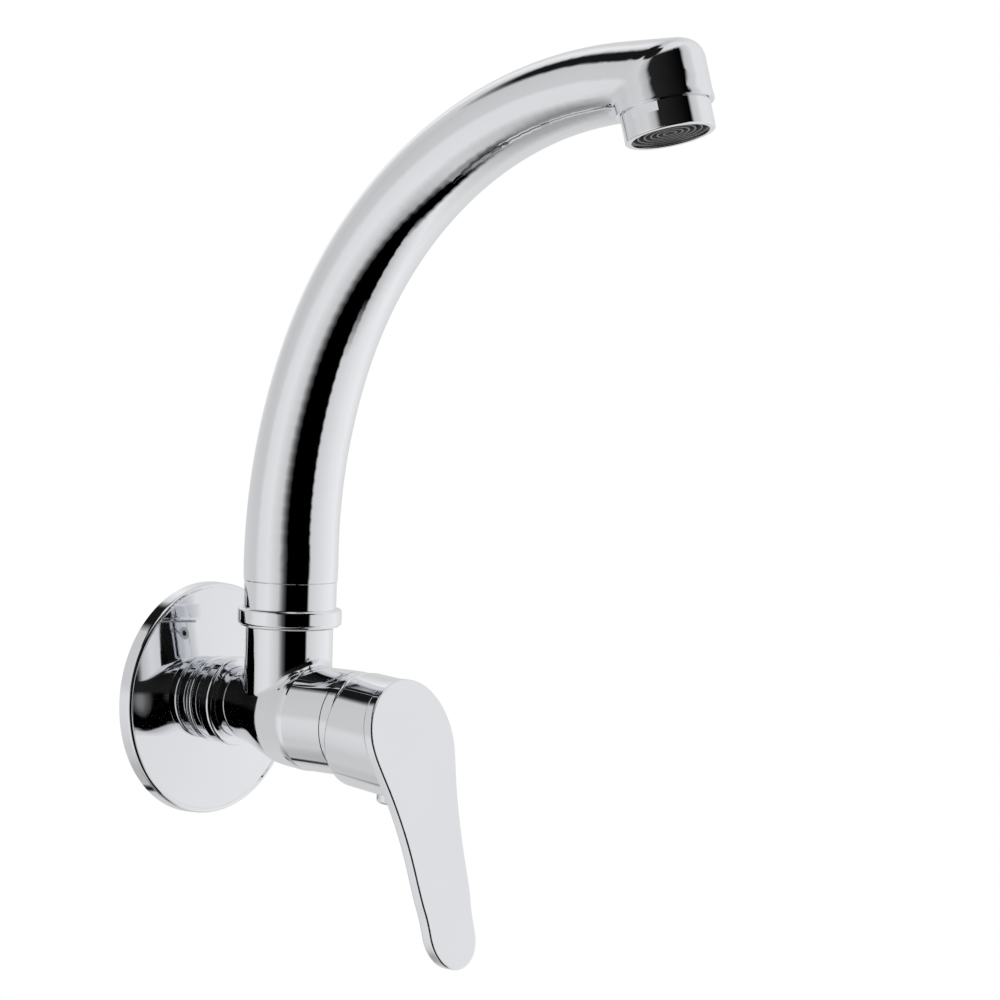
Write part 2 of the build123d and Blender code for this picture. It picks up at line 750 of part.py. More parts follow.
with BuildPart() as handle:
    with BuildSketch(lever_plane(hub_start)):
        Circle(hub_r)
    with BuildSketch(lever_plane(hub_end)):
        Circle(hub_front_r)
    loft()
    rear_rim = handle.edges().filter_by(GeomType.CIRCLE).filter_by(
        lambda e: abs(e.radius - hub_r) < 0.01)
    fillet(rear_rim, hub_edge)
    extrude(face_side.sketch, amount=2 * hub_side, mode=Mode.SUBTRACT)
    add(paddle.part)
    # hollow behind the face, with a boss for the square stem and a rib for the screw
    with BuildSketch(lever_plane(hub_start - slip)):
        Circle(hub_bore_r)
    extrude(amount=boss_start - hub_start + slip, mode=Mode.SUBTRACT)
    with BuildSketch(lever_plane(boss_start)):
        Circle(hub_bore_r)
        Circle(boss_r, mode=Mode.SUBTRACT)
        with Locations((0, -hub_bore_r / 2)):
            Rectangle(rib_w, hub_bore_r, mode=Mode.SUBTRACT)
    extrude(amount=hub_bore_end - boss_start, mode=Mode.SUBTRACT)
    with BuildSketch(lever_plane(boss_start)):
        Rectangle(square + 2 * slip, square + 2 * slip)
    extrude(amount=square_end + slip - boss_start, mode=Mode.SUBTRACT)
    with BuildSketch(screw_plane(square / 2)):
        Circle(grub_r + slip)
    extrude(amount=plug_seat - plug_shank_len - square / 2, mode=Mode.SUBTRACT)
    with BuildSketch(screw_plane(plug_seat - plug_shank_len)):
        Circle(plug_shank_r + slip)
    extrude(amount=plug_shank_len, mode=Mode.SUBTRACT)
    with BuildSketch(screw_plane(plug_seat)):
        Circle(plug_r + slip)
    extrude(amount=plug_r, mode=Mode.SUBTRACT)
handle.part.label = "handle"

with BuildPart() as grub_screw:
    with BuildSketch(screw_plane(square / 2 + slip)):
        Circle(grub_r)
    extrude(amount=grub_len)
    with BuildSketch(screw_plane(square / 2 + slip + grub_len / 2)):
        RegularPolygon(grub_r / 2, 6)
    extrude(amount=grub_len / 2, mode=Mode.SUBTRACT)
grub_screw.part.label = "grub_screw"

# Bright plug that hides the screw.
with BuildPart() as screw_plug:
    with BuildSketch(screw_plane(plug_seat)):
        Circle(plug_r)
    extrude(amount=plug_rise)
    outer_rim = screw_plug.edges().filter_by(GeomType.CIRCLE).sort_by(Axis.Z)[0]
    fillet(outer_rim, plug_edge)
    with BuildSketch(screw_plane(plug_seat - plug_shank_len + slip)):
        Circle(plug_shank_r)
    extrude(amount=plug_shank_len - slip)
screw_plug.part.label = "screw_plug"

# ================================================================ spout side
# Collar: a rounded bead over a thin lip, turning on the lower glide ring.
collar_start = shoulder_z + glide_len + run_gap
with BuildPart() as spout_collar:
    with BuildSketch(Plane.XY.offset(collar_start + lip_h)):
        with Locations(spout_axis):
            Circle(collar_r)
    extrude(amount=collar_top - collar_start - lip_h)
    fillet(spout_collar.edges().filter_by(GeomType.CIRCLE), bead_edge)
    with BuildSketch(Plane.XY.offset(collar_start)):
        with Locations(spout_axis):
            Circle(lip_r)
    extrude(amount=lip_h)
    with BuildSketch(Plane.XY.offset(collar_start)):
        with Locations(spout_axis):
            Circle(swivel_in_r)
    extrude(amount=collar_top - collar_start, mode=Mode.SUBTRACT)
spout_collar.part.label = "spout_collar"

with BuildPart() as spout_sleeve:
    with BuildSketch(Plane.XY.offset(collar_top)):
        with Locations(spout_axis):
            Circle(sleeve_r)
    extrude(amount=sleeve_top - collar_top)
    with BuildSketch(Plane.XY.offset(collar_top)):
        with Locations(spout_axis):
            Circle(swivel_in_r)
    extrude(amount=sleeve_top - sleeve_lip - collar_top, mode=Mode.SUBTRACT)
    with BuildSketch(Plane.XY.offset(collar_top)):
        with Locations(spout_axis):
            Circle(spigot_r + slip)
    extrude(amount=sleeve_top - collar_top, mode=Mode.SUBTRACT)
    top_rims = spout_sleeve.edges().filter_by(GeomType.CIRCLE).group_by(Axis.Z)[-1]
    chamfer(top_rims.sort_by(SortBy.RADIUS)[-1], seam_edge)
spout_sleeve.part.label = "spout_sleeve"

# Swivel spigot: screwed into the tube, turns in the casting, with ring and lock grooves.
with BuildPart() as swivel_spigot:
    with BuildSketch(Plane.XY.offset(spigot_bottom)):
        with Locations(spout_axis):
            Circle(spigot_r)
    extrude(amount=sleeve_top - spigot_bottom)
    with BuildSketch(Plane.XY.offset(sleeve_top)):
        with Locations(spout_axis):
            Circle(spigot_head_r)
    extrude(amount=spigot_head_top - sleeve_top)
    with BuildSketch(Plane.XY.offset(spigot_bottom)):
        with Locations(spout_axis):
            Circle(spigot_bore_r)
    extrude(amount=spigot_head_top - spigot_bottom, mode=Mode.SUBTRACT)
    for z, height, floor_r in (
        (oring_low_z, groove_w, groove_floor_r),
        (oring_high_z, groove_w, groove_floor_r),
        (lock_z, lock_groove_w, lock_groove_r),
    ):
        with BuildSketch(Plane.XY.offset(z - height / 2)):
            with Locations(spout_axis):
                Circle(spigot_r + slip)
                Circle(floor_r, mode=Mode.SUBTRACT)
        extrude(amount=height, mode=Mode.SUBTRACT)
swivel_spigot.part.label = "swivel_spigot"

ring_mid_r = spout_bore_r - seal_gap - oring_r
with BuildPart() as spigot_orings:
    with Locations((0, -spout_out, oring_low_z), (0, -spout_out, oring_high_z)):
        Torus(ring_mid_r, oring_r)
spigot_orings.part.label = "spigot_orings"

# Spout: one casting. An oval tube rises through two bends. Its last sections fan out
# from the corner under the tube and turn down into the leaning outlet head.
def oval(half_width, half_height, middle_y=0.0):
    """Draw an oval outline in the open sketch line, as two halves."""
    right = []
    for i in range(oval_steps + 1):
        turn = pi * i / oval_steps
        right.append((half_width * sin(turn), middle_y - half_height * cos(turn)))
    left = [(-x, y) for x, y in reversed(right)]
    even = [i / oval_steps for i in range(oval_steps + 1)]
    across = pi * half_width
    add(Edge.make_spline(right, tangents=[(across, 0), (-across, 0)], parameters=even, scale=False))
    add(Edge.make_spline(left, tangents=[(-across, 0), (across, 0)], parameters=even, scale=False))


end_plane, end_r = tube_station(1.0)
last_plane = end_plane.offset(tube_run_out)
tube_share = 1 - corner_back / bends_run
with BuildPart() as outlet_head:
    for i in range(head_steps + 1):
        plane, half = head_station(i / head_steps)
        with BuildSketch(plane):
            with BuildLine():
                oval(head_r, half)
            make_face()
    loft()
with BuildPart() as spout:
    with BuildSketch(Plane.XY.offset(sleeve_top)):
        with BuildLine():
            oval(foot_r, foot_r, -spout_out)
        make_face()
    for i in range(tube_steps):
        part = i / tube_steps * tube_share
        plane, r = tube_station(part)
        with BuildSketch(plane):
            with BuildLine():
                oval(tube_r + (head_r - tube_r) * part, r - 4 * tube_waist * part * (1 - part))
            make_face()
    plane, half = head_station(0)
    with BuildSketch(plane):
        with BuildLine():
            oval(head_r, half)
        make_face()
    loft()
    add(outlet_head.part)
    with BuildSketch(Plane.XY.offset(sleeve_top)):
        with Locations(spout_axis):
            Circle(spigot_head_r)
    extrude(amount=spigot_head_top - sleeve_top, mode=Mode.SUBTRACT)
    for i in range(tube_steps + 1):
        part = i / tube_steps
        plane, r = tube_station(part)
        squeeze = max(0.0, (part - squeeze_from) / (1 - squeeze_from))
        with BuildSketch(plane):
            with Locations((0, squeeze * bore_rise)):
                Circle(r - tube_wall - squeeze * (end_r - tube_wall - bore_end_r))
    with BuildSketch(last_plane):
        with Locations((0, bore_rise)):
            Circle(bore_end_r)
    loft(mode=Mode.SUBTRACT)
    with BuildSketch(outlet_plane(head_start)):
        Circle(head_mouth_r)
    extrude(amount=head_mouth_end - head_start, mode=Mode.SUBTRACT)
    with BuildSketch(outlet_plane(head_mouth_end)):
        Circle(head_room_r)
    extrude(amount=head_room_end - head_mouth_end, mode=Mode.SUBTRACT)
spout.part.label = "spout"

# ================================================================ aerator
with BuildPart() as aerator_housing:
    with BuildSketch(outlet_plane(0)):
        Circle(aer_r)
    extrude(amount=aer_len)
    fillet(aerator_housing.edges().filter_by(GeomType.CIRCLE).sort_by(Axis.Z)[0], aer_rim_edge)
    with BuildSketch(outlet_plane(flat_low)):
        Circle(aer_r + 1)
        Rectangle(2 * flat_half, 3 * aer_r, rotation=flat_turn, mode=Mode.SUBTRACT)
    extrude(amount=aer_len - flat_low, mode=Mode.SUBTRACT)
    with BuildSketch(outlet_plane(aer_len)):
        Circle(aer_thread_r)
    extrude(amount=aer_thread_end - aer_len)
    with BuildSketch(outlet_plane(0)):
        Circle(aer_in_r)
    extrude(amount=insert_top, mode=Mode.SUBTRACT)
    with BuildSketch(outlet_plane(insert_top)):
        Circle(aer_shelf_r)
    extrude(amount=aer_thread_end - insert_top, mode=Mode.SUBTRACT)
aerator_housing.part.label = "aerator_housing"

# Flow straightener: concentric rings hanging from a drilled disc.
with BuildPart() as aerator_insert:
    with BuildSketch(outlet_plane(insert_top - web_len)):
        Circle(insert_r)
        with PolarLocations(hole_circle_r, 2 * hole_count):
            Circle(ring_w, mode=Mode.SUBTRACT)
        with PolarLocations(hole_circle_r / 2, hole_count):
            Circle(ring_w, mode=Mode.SUBTRACT)
    extrude(amount=web_len)
    with BuildSketch(outlet_plane(insert_low)):
        Circle(insert_r)
        Circle(insert_r - ring_w, mode=Mode.SUBTRACT)
        for i in range(ring_count, 0, -1):
            Circle(ring_step * i + ring_w / 2)
            Circle(ring_step * i - ring_w / 2, mode=Mode.SUBTRACT)
    extrude(amount=insert_top - web_len - insert_low)
aerator_insert.part.label = "aerator_insert"

with BuildPart() as aerator_mesh:
    with BuildSketch(outlet_plane(insert_top)):
        Circle(aer_shelf_r - slip)
    extrude(amount=mesh_len)
aerator_mesh.part.label = "aerator_mesh"

with BuildPart() as aerator_washer:
    with BuildSketch(outlet_plane(aer_thread_end)):
        Circle(aer_thread_r)
        Circle(washer_in_r, mode=Mode.SUBTRACT)
    extrude(amount=head_mouth_end - aer_thread_end - slip)
aerator_washer.part.label = "aerator_washer"

# ================================================================ export
export_step(escutcheon.part, "parts/escutcheon.step")
export_step(escutcheon_gasket.part, "parts/escutcheon_gasket.step")
export_step(plate_ring.part, "parts/plate_ring.step")
export_step(inlet_nipple.part, "parts/inlet_nipple.step")
export_step(inlet_strainer.part, "parts/inlet_strainer.step")
export_step(inlet_seal.part, "parts/inlet_seal.step")
export_step(body.part, "parts/body.step")
export_step(lock_screw.part, "parts/lock_screw.step")
export_step(lower_glide_ring.part, "parts/lower_glide_ring.step")
export_step(upper_glide_ring.part, "parts/upper_glide_ring.step")
export_step(cartridge_base.part, "parts/cartridge_base.step")
export_step(port_seals.part, "parts/port_seals.step")
export_step(fixed_disc.part, "parts/fixed_disc.step")
export_step(cartridge_housing.part, "parts/cartridge_housing.step")
export_step(cartridge_nut.part, "parts/cartridge_nut.step")
export_step(cartridge_cap.part, "parts/cartridge_cap.step")
export_step(moving_disc.part, "parts/moving_disc.step")
export_step(disc_driver.part, "parts/disc_driver.step")
export_step(lever_carrier.part, "parts/lever_carrier.step")
export_step(tilt_pin.part, "parts/tilt_pin.step")
export_step(lever_stem.part, "parts/lever_stem.step")
export_step(handle.part, "parts/handle.step")
export_step(grub_screw.part, "parts/grub_screw.step")
export_step(screw_plug.part, "parts/screw_plug.step")
export_step(spout_collar.part, "parts/spout_collar.step")
export_step(spout_sleeve.part, "parts/spout_sleeve.step")
export_step(swivel_spigot.part, "parts/swivel_spigot.step")
export_step(spigot_orings.part, "parts/spigot_orings.step")
export_step(spout.part, "parts/spout.step")
export_step(aerator_housing.part, "parts/aerator_housing.step")
export_step(aerator_insert.part, "parts/aerator_insert.step")
export_step(aerator_mesh.part, "parts/aerator_mesh.step")
export_step(aerator_washer.part, "parts/aerator_washer.step")
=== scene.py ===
import math
import bpy
from mathutils import Matrix, Vector


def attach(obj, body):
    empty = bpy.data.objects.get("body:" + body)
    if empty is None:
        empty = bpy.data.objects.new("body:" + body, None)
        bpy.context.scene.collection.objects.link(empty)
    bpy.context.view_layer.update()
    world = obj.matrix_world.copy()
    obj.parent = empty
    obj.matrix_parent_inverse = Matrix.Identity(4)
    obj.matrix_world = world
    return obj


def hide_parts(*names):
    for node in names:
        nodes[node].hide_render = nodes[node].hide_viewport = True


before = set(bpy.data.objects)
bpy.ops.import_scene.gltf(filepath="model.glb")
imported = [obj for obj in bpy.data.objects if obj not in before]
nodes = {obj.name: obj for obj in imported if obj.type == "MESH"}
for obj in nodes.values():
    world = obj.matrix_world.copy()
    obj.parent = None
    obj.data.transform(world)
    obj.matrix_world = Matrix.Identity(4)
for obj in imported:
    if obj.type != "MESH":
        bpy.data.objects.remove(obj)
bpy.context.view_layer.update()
print("frame loaded:", len(nodes), "nodes")

# the camera stands on the left of the faucet, a little above its middle; turns are in degrees
cameraPlace = {
    "spot": (-0.74225, -0.75479, 0.11925),
    "turn": -49.272,
    "dip": -3.089,
    "roll": 1.745,
    "lens": 126.0,
    "sensor": 36.0,
    "nearEdge": 0.05,
    "farEdge": 30.0,
}


def makeCamera():
    data = bpy.data.cameras.new("camera")
    data.lens = cameraPlace["lens"]
    data.sensor_width = cameraPlace["sensor"]
    data.clip_start = cameraPlace["nearEdge"]
    data.clip_end = cameraPlace["farEdge"]
    camera = bpy.data.objects.new("camera", data)
    bpy.context.scene.collection.objects.link(camera)
    turn = Matrix.Rotation(math.radians(cameraPlace["turn"]), 4, "Z")
    tip = Matrix.Rotation(math.radians(90 + cameraPlace["dip"]), 4, "X")
    roll = Matrix.Rotation(math.radians(cameraPlace["roll"]), 4, "Z")
    camera.matrix_world = Matrix.Translation(cameraPlace["spot"]) @ turn @ tip @ roll
    bpy.context.scene.camera = camera


makeCamera()
print("camera placed")

# helpers for the node materials: each one adds a node and gives back what the next one needs


def newMaterial(name):
    material = bpy.data.materials.new(name)
    material.use_nodes = True
    tree = material.node_tree
    shader = tree.nodes["Principled BSDF"]
    coords = tree.nodes.new("ShaderNodeTexCoord")
    return material, tree, shader, coords


def noiseOn(tree, coords, scale, detail, roughness=0.5):
    noise = tree.nodes.new("ShaderNodeTexNoise")
    noise.inputs["Scale"].default_value = scale
    noise.inputs["Detail"].default_value = detail
    noise.inputs["Roughness"].default_value = roughness
    tree.links.new(coords.outputs["Object"], noise.inputs["Vector"])
    return noise


def rangeOf(tree, value, low, high, fromLow=0.3, fromHigh=0.7):
    ranged = tree.nodes.new("ShaderNodeMapRange")
    ranged.inputs["From Min"].default_value = fromLow
    ranged.inputs["From Max"].default_value = fromHigh
    ranged.inputs["To Min"].default_value = low
    ranged.inputs["To Max"].default_value = high
    tree.links.new(value, ranged.inputs["Value"])
    return ranged.outputs["Result"]


def blendOf(tree, factor, first, second):
    mix = tree.nodes.new("ShaderNodeMix")
    mix.data_type = "RGBA"
    mix.inputs["A"].default_value = (*first, 1)
    mix.inputs["B"].default_value = (*second, 1)
    tree.links.new(factor, mix.inputs["Factor"])
    return mix.outputs["Result"]


def bumpFrom(tree, shader, height, strength, distance):
    bump = tree.nodes.new("ShaderNodeBump")
    bump.inputs["Strength"].default_value = strength
    bump.inputs["Distance"].default_value = distance
    tree.links.new(height, bump.inputs["Height"])
    tree.links.new(bump.outputs["Normal"], shader.inputs["Normal"])


# polished chrome plate: faint waves left by the polishing wheel, and a film that varies its gloss
chromeLook = {
    "bright": (0.86, 0.87, 0.895),
    "dim": (0.825, 0.835, 0.86),
    "gloss": (0.02, 0.06),
    "filmScale": 45.0,
    "filmDetail": 4.0,
    "waveDetail": 1.0,
    "wave": 0.2,
    "waveDepth": 0.000008,
}


def chromeFinish(name, waveScale, waveShare):
    material, tree, shader, coords = newMaterial(name)
    shader.inputs["Metallic"].default_value = 1.0
    film = noiseOn(tree, coords, chromeLook["filmScale"], chromeLook["filmDetail"])
    tint = blendOf(tree, film.outputs["Fac"], chromeLook["dim"], chromeLook["bright"])
    tree.links.new(tint, shader.inputs["Base Color"])
    rough = rangeOf(tree, film.outputs["Fac"], *chromeLook["gloss"])
    tree.links.new(rough, shader.inputs["Roughness"])
    wave = noiseOn(tree, coords, waveScale, chromeLook["waveDetail"])
    bumpFrom(tree, shader, wave.outputs["Fac"], chromeLook["wave"] * waveShare, chromeLook["waveDepth"])
    return material


# plain metals, plastics, ceramics and rubber: a fine grain varies colour and gloss and lifts the surface
grainLook = {"detail": 6.0, "roughness": 0.6, "strength": 0.4}


def grainFinish(name, metallic, colours, gloss, scale, depth):
    material, tree, shader, coords = newMaterial(name)
    shader.inputs["Metallic"].default_value = metallic
    grain = noiseOn(tree, coords, scale, grainLook["detail"], grainLook["roughness"])
    tree.links.new(blendOf(tree, grain.outputs["Fac"], *colours), shader.inputs["Base Color"])
    tree.links.new(rangeOf(tree, grain.outputs["Fac"], *gloss), shader.inputs["Roughness"])
    bumpFrom(tree, shader, grain.outputs["Fac"], grainLook["strength"], depth)
    return material


# one row for each chrome: the scale of its waves and their share of the full strength
chromes = {
    "castChrome": (50.0, 1.0),
    "spoutChrome": (35.0, 1.2),
    "handleChrome": (40.0, 1.0),
    "plateChrome": (45.0, 1.0),
    "trimChrome": (90.0, 0.5),
}

# one row for each grained finish: metallic or not, darkest and palest colour, gloss, grain scale and depth
metal, noMetal = 1.0, 0.0
grained = {
    "turnedBrass": (metal, ((0.62, 0.44, 0.17), (0.70, 0.52, 0.24)), (0.22, 0.38), 900.0, 0.00001),
    "plainSteel": (metal, ((0.44, 0.44, 0.45), (0.56, 0.56, 0.57)), (0.22, 0.36), 1200.0, 0.00001),
    "meshSteel": (metal, ((0.40, 0.40, 0.41), (0.55, 0.55, 0.56)), (0.28, 0.42), 2600.0, 0.00002),
    "whiteAcetal": (noMetal, ((0.74, 0.74, 0.71), (0.80, 0.80, 0.78)), (0.38, 0.5), 500.0, 0.00001),
    "greyAcetal": (noMetal, ((0.12, 0.12, 0.125), (0.16, 0.16, 0.165)), (0.34, 0.48), 600.0, 0.00001),
    "darkCeramic": (noMetal, ((0.035, 0.033, 0.035), (0.06, 0.056, 0.058)), (0.12, 0.2), 800.0, 0.000005),
    "whiteCeramic": (noMetal, ((0.78, 0.77, 0.73), (0.84, 0.83, 0.80)), (0.12, 0.2), 800.0, 0.000005),
    "sealRubber": (noMetal, ((0.018, 0.018, 0.019), (0.035, 0.035, 0.036)), (0.5, 0.66), 1500.0, 0.00002),
    "closedFoam": (noMetal, ((0.10, 0.10, 0.11), (0.17, 0.17, 0.18)), (0.8, 0.95), 2200.0, 0.0001),
}

finishes = {name: chromeFinish(name, *row) for name, row in chromes.items()}
finishes.update({name: grainFinish(name, *row) for name, row in grained.items()})

nodesOfFinish = {
    "castChrome": ("body", "inlet_nipple"),
    "spoutChrome": ("spout",),
    "handleChrome": ("handle",),
    "plateChrome": ("escutcheon",),
    "trimChrome": ("plate_ring", "spout_collar", "spout_sleeve", "cartridge_cap", "screw_plug",
                   "aerator_housing"),
    "turnedBrass": ("cartridge_nut", "lever_stem", "swivel_spigot"),
    "plainSteel": ("lock_screw", "grub_screw", "tilt_pin"),
    "meshSteel": ("inlet_strainer", "aerator_mesh"),
    "whiteAcetal": ("lower_glide_ring", "upper_glide_ring", "disc_driver"),
    "greyAcetal": ("aerator_insert", "cartridge_base", "cartridge_housing", "lever_carrier"),
    "darkCeramic": ("moving_disc",),
    "whiteCeramic": ("fixed_disc",),
    "sealRubber": ("port_seals", "inlet_seal", "spigot_orings", "aerator_washer"),
    "closedFoam": ("escutcheon_gasket",),
}

for finishName, nodeNames in nodesOfFinish.items():
    for nodeName in nodeNames:
        slots = nodes[nodeName].data.materials
        slots.clear()
        slots.append(finishes[finishName])
print("finishes laid on", sum(len(names) for names in nodesOfFinish.values()), "nodes")

# the spout's long mirror curve shows every facet, so a welded copy with freshly smoothed faces stands
# for it; the weld is in metres, the angles are in degrees
spoutShell = {
    "weld": 0.000001,
    "flatPair": 40,
    "squareness": 60,
    "crispEdge": 25,
}


def makeSpoutShell():
    bpy.ops.object.select_all(action="DESELECT")
    shell = bpy.data.objects.new("spoutShell", nodes["spout"].data.copy())
    bpy.context.scene.collection.objects.link(shell)
    shell.select_set(True)
    bpy.context.view_layer.objects.active = shell
    bpy.ops.mesh.customdata_custom_splitnormals_clear()
    bpy.ops.object.mode_set(mode="EDIT")
    bpy.ops.mesh.select_all(action="SELECT")
    bpy.ops.mesh.remove_doubles(threshold=spoutShell["weld"])
    bpy.ops.mesh.tris_convert_to_quads(face_threshold=math.radians(spoutShell["flatPair"]),
                                       shape_threshold=math.radians(spoutShell["squareness"]))
    bpy.ops.object.mode_set(mode="OBJECT")
    bpy.ops.object.shade_smooth_by_angle(angle=math.radians(spoutShell["crispEdge"]))
    shell.select_set(False)
    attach(shell, "spout_arm")
    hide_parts("spout")


makeSpoutShell()
print("spout shell welded and smoothed")

# studio: a pale floor under the faucet, a glowing tent that only the metal sees and that paints its
# reflections, two soft lamps
studioMiddle = (0.0, -0.09, 0.06)
photoAngle = -44.5  # the turn from which the photo looks, in degrees
room = {"colour": 0.8, "strength": 0.6}
floorLook = {
    "top": -0.42,
    "radius": 1.6,
    "fadeFrom": 0.5,
    "corners": 96,
    "greys": (0.80, 0.84),
    "grainScale": 60.0,
    "grainDetail": 5.0,
    "roughness": 0.8,
}
tentShape = {"radius": 2.4, "segments": 96, "rings": 48}
lamps = {
    "keyLamp": {"spot": (-1.1, -0.9, 1.5), "power": 26.0, "size": 1.1},
    "fillLamp": {"spot": (1.5, -0.8, 0.9), "power": 12.0, "size": 1.4},
}

# greys that the tent glows in, painted so the metal shows them as reflections, by the turn from the camera
# in degrees (minus is left), one list for each
# height: the pit under the stand, the foot of the tent, the lower band, the upper band and the roof
paintedReflection = {
    "pit": [(-180, 0.15), (-100, 0.10), (-80, 0.30), (-45, 0.33), (-25, 0.10), (0, 0.0), (150, 0.0),
            (180, 0.15)],
    "foot": [(-180, 0.45), (-150, 0.40), (-116, 0.28), (-100, 0.42), (-85, 0.60), (-60, 0.70), (-43, 0.60),
             (-31, 0.44), (-26, 0.38), (-21, 0.15), (-15, 0.06), (-10, 0.0), (57, 0.0), (63, 0.55),
             (90, 0.75), (120, 0.90), (150, 0.70), (180, 0.45)],
    "below": [(-180, 0.66), (-150, 0.70), (-110, 0.66), (-100, 0.66), (-88, 0.80), (-60, 0.86), (-32, 0.64),
              (-25, 0.30), (-19, 0.10), (-11, 0.0), (42, 0.0), (47, 0.70), (90, 0.87), (120, 0.95),
              (150, 0.80), (180, 0.66)],
    "above": [(-180, 0.70), (-165, 0.95), (-148, 0.70), (-120, 0.62), (-95, 0.66), (-60, 0.72), (-40, 0.50),
              (-30, 0.02), (54, 0.0), (62, 0.62), (80, 0.72), (90, 0.86), (120, 0.86), (180, 0.70)],
    "roof": [(-180, 0.62), (-90, 0.66), (0, 0.80), (90, 0.86), (180, 0.62)],
}
# where one band of painted reflection gives way to the next, as a share of the tent's height from its
# middle
tentJoins = {"foot": (-0.975, -0.94), "below": (-0.82, -0.64), "above": (-0.03, 0.12), "roof": (0.72, 0.86)}
# dark patches painted into the tent's glow, as painted dark reflections: turn, height, half width and soft
# edge, all in degrees
paintedDarkReflections = {
    "leftBack": (-130, 47, 8.5, 7.0),
    "topBack": (-110, 62, 15.0, 5.0),
    "topFront": (-50, 60, 16.0, 4.0),
    "lowBack": (-147, -46, 2.0, 3.0),
}
# the grey of the painted dark reflections
darkReflectionGrey = 0.01


def mathOf(tree, operation, first, second):
    node = tree.nodes.new("ShaderNodeMath")
    node.operation = operation
    tree.links.new(first, node.inputs[0])
    tree.links.new(second, node.inputs[1])
    return node.outputs[0]


def clearRays(tree):
    rays = tree.nodes.new("ShaderNodeLightPath")
    seen = mathOf(tree, "MAXIMUM", rays.outputs["Is Camera Ray"], rays.outputs["Is Glossy Ray"])
    return mathOf(tree, "MAXIMUM", seen, rays.outputs["Is Transmission Ray"])


def backdropOf(tree, grey, strength):
    backdrop = tree.nodes.new("ShaderNodeBackground")
    backdrop.inputs["Color"].default_value = (grey, grey, grey, 1)
    backdrop.inputs["Strength"].default_value = strength
    return backdrop.outputs[0]


def whiteWorld():
    world = bpy.data.worlds.new("paleRoom")
    bpy.context.scene.world = world
    world.use_nodes = True
    tree = world.node_tree
    tree.nodes.clear()
    mix = tree.nodes.new("ShaderNodeMixShader")
    tree.links.new(clearRays(tree), mix.inputs["Fac"])
    tree.links.new(backdropOf(tree, room["colour"], room["strength"]), mix.inputs[1])
    tree.links.new(backdropOf(tree, 1.0, 1.0), mix.inputs[2])
    out = tree.nodes.new("ShaderNodeOutputWorld")
    tree.links.new(mix.outputs[0], out.inputs["Surface"])


def paleFloor():
    bpy.ops.object.select_all(action="DESELECT")
    bpy.ops.mesh.primitive_circle_add(vertices=floorLook["corners"], radius=floorLook["radius"],
                                      fill_type="NGON", location=(*studioMiddle[:2], floorLook["top"]))
    floor = bpy.context.object
    floor.name = "floor"
    material, tree, shader, coords = newMaterial("floorPaper")
    grain = noiseOn(tree, coords, floorLook["grainScale"], floorLook["grainDetail"])
    darker, paler = floorLook["greys"]
    colour = blendOf(tree, grain.outputs["Fac"], (darker,) * 3, (paler,) * 3)
    tree.links.new(colour, shader.inputs["Base Color"])
    shader.inputs["Roughness"].default_value = floorLook["roughness"]
    # the edge of the floor runs out into the white of the room
    span = tree.nodes.new("ShaderNodeVectorMath")
    span.operation = "LENGTH"
    tree.links.new(coords.outputs["Object"], span.inputs[0])
    edge = rangeOf(tree, span.outputs["Value"], 0.0, 1.0, floorLook["fadeFrom"], floorLook["radius"])
    glow = tree.nodes.new("ShaderNodeEmission")
    glow.inputs["Color"].default_value = (1, 1, 1, 1)
    mix = tree.nodes.new("ShaderNodeMixShader")
    tree.links.new(edge, mix.inputs["Fac"])
    tree.links.new(shader.outputs[0], mix.inputs[1])
    tree.links.new(glow.outputs[0], mix.inputs[2])
    tree.links.new(mix.outputs[0], tree.nodes["Material Output"].inputs["Surface"])
    floor.data.materials.append(material)
    floor.visible_glossy = False


def greyRamp(tree, turn, stops):
    ramp = tree.nodes.new("ShaderNodeValToRGB")
    steps = ramp.color_ramp.elements
    while len(steps) > 1:
        steps.remove(steps[-1])
    steps[0].position = 0.0
    steps[0].color = (stops[0][1],) * 3 + (1,)
    for angle, grey in stops[1:]:
        step = steps.new((angle + 180) / 360)
        step.color = (grey, grey, grey, 1)
    tree.links.new(turn, ramp.inputs["Fac"])
    return ramp.outputs["Color"]


def mixGrey(tree, factor, first, second):
    mix = tree.nodes.new("ShaderNodeMix")
    mix.data_type = "RGBA"
    tree.links.new(factor, mix.inputs["Factor"])
    tree.links.new(first, mix.inputs["A"])
    tree.links.new(second, mix.inputs["B"])
    return mix.outputs["Result"]


# paints a dark reflection patch into the tent's glowing greys
def paintDarkReflection(tree, place, reflectionGrey, darkPatch):
    angle, rise, half, soft = (math.radians(value) for value in darkPatch)
    aim = tree.nodes.new("ShaderNodeVectorMath")
    aim.operation = "DOT_PRODUCT"
    level = math.cos(rise)
    aim.inputs[1].default_value = (math.sin(angle) * level, -math.cos(angle) * level, math.sin(rise))
    tree.links.new(place, aim.inputs[0])
    inner = tentShape["radius"] * math.cos(half)
    outer = tentShape["radius"] * math.cos(half + soft)
    clear = rangeOf(tree, aim.outputs["Value"], 1.0, 0.0, outer, inner)
    shade = tree.nodes.new("ShaderNodeMix")
    shade.data_type = "RGBA"
    shade.inputs["A"].default_value = (darkReflectionGrey, darkReflectionGrey, darkReflectionGrey, 1)
    tree.links.new(clear, shade.inputs["Factor"])
    tree.links.new(reflectionGrey, shade.inputs["B"])
    return shade.outputs["Result"]


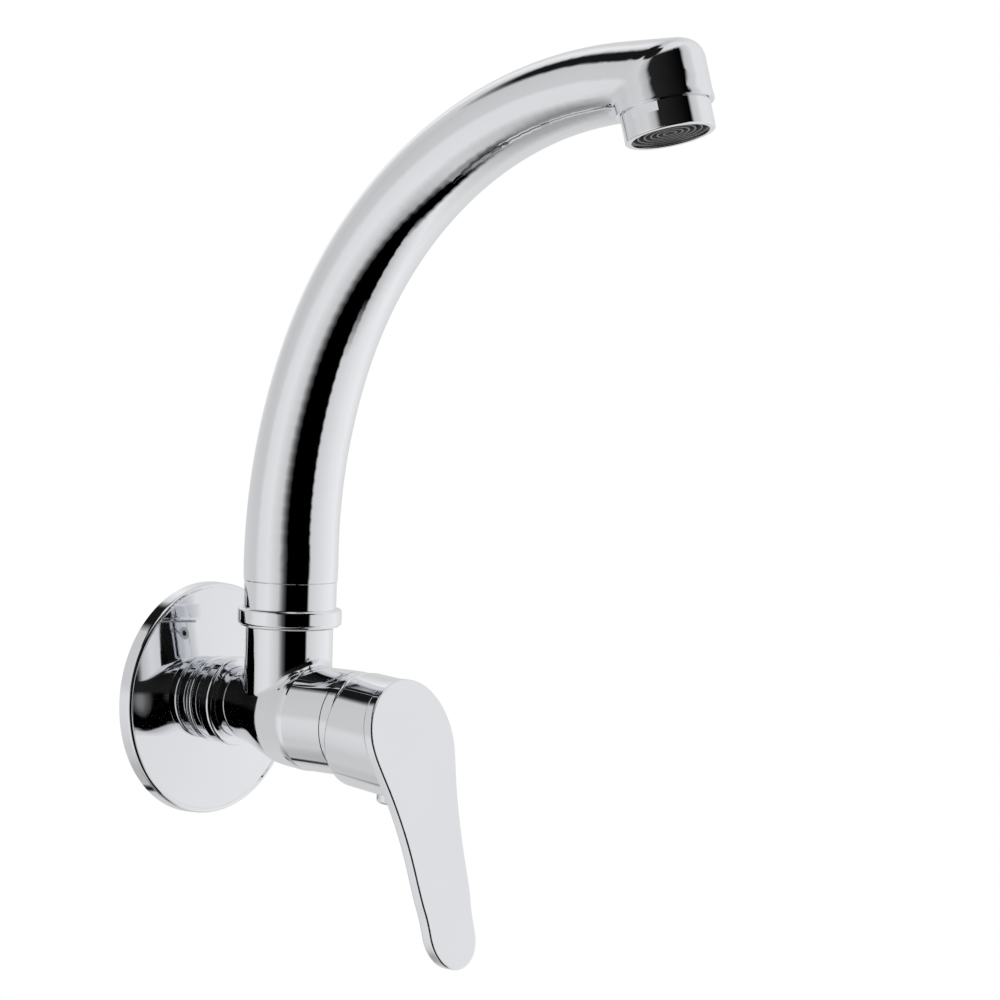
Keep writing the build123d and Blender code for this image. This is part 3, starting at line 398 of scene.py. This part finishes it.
def turnAndHeight(tree, place):
    parts = tree.nodes.new("ShaderNodeSeparateXYZ")
    tree.links.new(place, parts.inputs[0])
    front = tree.nodes.new("ShaderNodeMath")
    front.operation = "MULTIPLY"
    front.inputs[1].default_value = -1.0
    tree.links.new(parts.outputs["Y"], front.inputs[0])
    angle = mathOf(tree, "ARCTAN2", parts.outputs["X"], front.outputs[0])
    turn = rangeOf(tree, angle, 0.0, 1.0, -math.pi, math.pi)
    height = tree.nodes.new("ShaderNodeMath")
    height.operation = "DIVIDE"
    height.inputs[1].default_value = tentShape["radius"]
    tree.links.new(parts.outputs["Z"], height.inputs[0])
    return turn, height.outputs[0]


# the tent's glow: greys by turn and height that paint the chrome's reflections, with painted dark
# reflections laid in
def reflectionGlowFinish():
    material = bpy.data.materials.new("paintedReflection")
    material.use_nodes = True
    tree = material.node_tree
    tree.nodes.clear()
    coords = tree.nodes.new("ShaderNodeTexCoord")
    turned = tree.nodes.new("ShaderNodeMapping")
    turned.inputs["Rotation"].default_value = (0, 0, math.radians(-photoAngle))
    tree.links.new(coords.outputs["Object"], turned.inputs["Vector"])
    turn, height = turnAndHeight(tree, turned.outputs["Vector"])
    reflectionGrey = greyRamp(tree, turn, paintedReflection["pit"])
    for name, join in tentJoins.items():
        share = rangeOf(tree, height, 0.0, 1.0, *join)
        reflectionGrey = mixGrey(tree, share, reflectionGrey, greyRamp(tree, turn, paintedReflection[name]))
    for darkPatch in paintedDarkReflections.values():
        reflectionGrey = paintDarkReflection(tree, turned.outputs["Vector"], reflectionGrey, darkPatch)
    glow = tree.nodes.new("ShaderNodeEmission")
    tree.links.new(reflectionGrey, glow.inputs["Color"])
    out = tree.nodes.new("ShaderNodeOutputMaterial")
    tree.links.new(glow.outputs[0], out.inputs["Surface"])
    return material


# a glowing sphere that only the metal sees, painting its reflections
def addReflectionGlowTent():
    bpy.ops.object.select_all(action="DESELECT")
    bpy.ops.mesh.primitive_uv_sphere_add(segments=tentShape["segments"], ring_count=tentShape["rings"],
                                         radius=tentShape["radius"], location=studioMiddle)
    tent = bpy.context.object
    tent.name = "tent"
    bpy.ops.object.shade_smooth()
    tent.data.materials.append(reflectionGlowFinish())
    tent.visible_camera = False
    tent.visible_diffuse = False
    tent.visible_transmission = False
    tent.visible_shadow = False


def softLamp(name, spot, power, size):
    data = bpy.data.lights.new(name, "AREA")
    data.shape = "DISK"
    data.size = size
    data.energy = power
    lamp = bpy.data.objects.new(name, data)
    bpy.context.scene.collection.objects.link(lamp)
    lamp.location = spot
    aim = Vector(studioMiddle) - Vector(spot)
    lamp.rotation_euler = aim.to_track_quat("-Z", "Y").to_euler()
    lamp.visible_glossy = False  # the metal's reflections are painted by the glowing tent only


bpy.context.scene.view_settings.view_transform = "Standard"
whiteWorld()
paleFloor()
addReflectionGlowTent()
for lampName, lamp in lamps.items():
    softLamp(lampName, **lamp)
print("studio ready")
